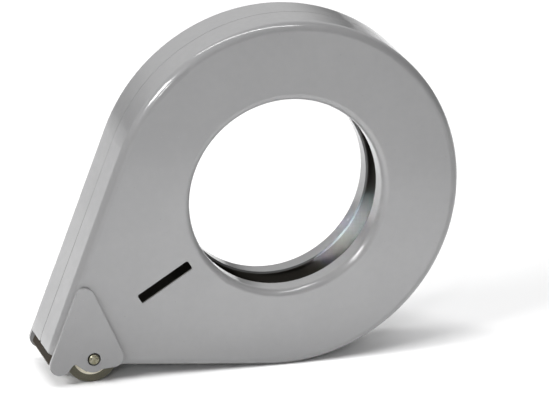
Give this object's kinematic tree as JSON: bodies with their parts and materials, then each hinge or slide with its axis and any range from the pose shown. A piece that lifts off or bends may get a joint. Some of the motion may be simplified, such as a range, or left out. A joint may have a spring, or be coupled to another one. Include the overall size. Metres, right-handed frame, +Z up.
{
  "type": "hand-held tape dispenser",
  "caption": "Drop-shaped sheet steel tape dispenser in two hinged halves, with an open collared hub for the roll, a rubber roller and a toothed blade at its nose.",
  "frame": {"origin": "on the surface it stands on, midway between the nose's tip and the hinge's back, at mid-width", "axes": "+X from the nose to the rear, +Y away from the cover half, +Z up"},
  "size_m": [0.158, 0.0338, 0.132],
  "materials": {
    "casing_steel": "satin grey hammered coat",
    "strip_steel": "plain pressed steel",
    "blade_steel": "blackened, worn at the teeth",
    "zinc": "zinc plated",
    "axle_nickel": "dull plated",
    "core_nylon": "natural nylon",
    "sleeve_rubber": "aged olive rubber"
  },
  "bodies": {
    "body": {"far_shell": "casing_steel", "far_cheek": "casing_steel", "seam_strip_front": "strip_steel", "seam_strip_top": "strip_steel", "seam_strip_bottom": "strip_steel", "blade_holder": "strip_steel", "blade": "blade_steel", "blade_screws": "zinc", "roller_axle": "axle_nickel", "axle_clip": "strip_steel", "thrust_washer": "zinc", "hinge_leaf_far": "casing_steel", "hinge_pin": "zinc"},
    "cover": {"near_shell": "casing_steel", "near_cheek": "casing_steel", "hinge_leaf_near": "casing_steel", "catch_spring": "strip_steel", "catch_rivet": "zinc"},
    "roller": {"roller_core": "core_nylon", "roller_sleeve": "sleeve_rubber"}
  },
  "joints": [
    {"name": "cover_hinge", "type": "hinge", "parent": "body", "child": "cover", "pos_m": [0.07783, 0, 0.063], "axis": [0, 0, 1], "range_deg": [0, 110]},
    {"name": "roller_spin", "type": "hinge", "parent": "body", "child": "roller", "pos_m": [-0.06258, 0, 0.01], "axis": [0, 1, 0], "continuous": true}
  ]
}
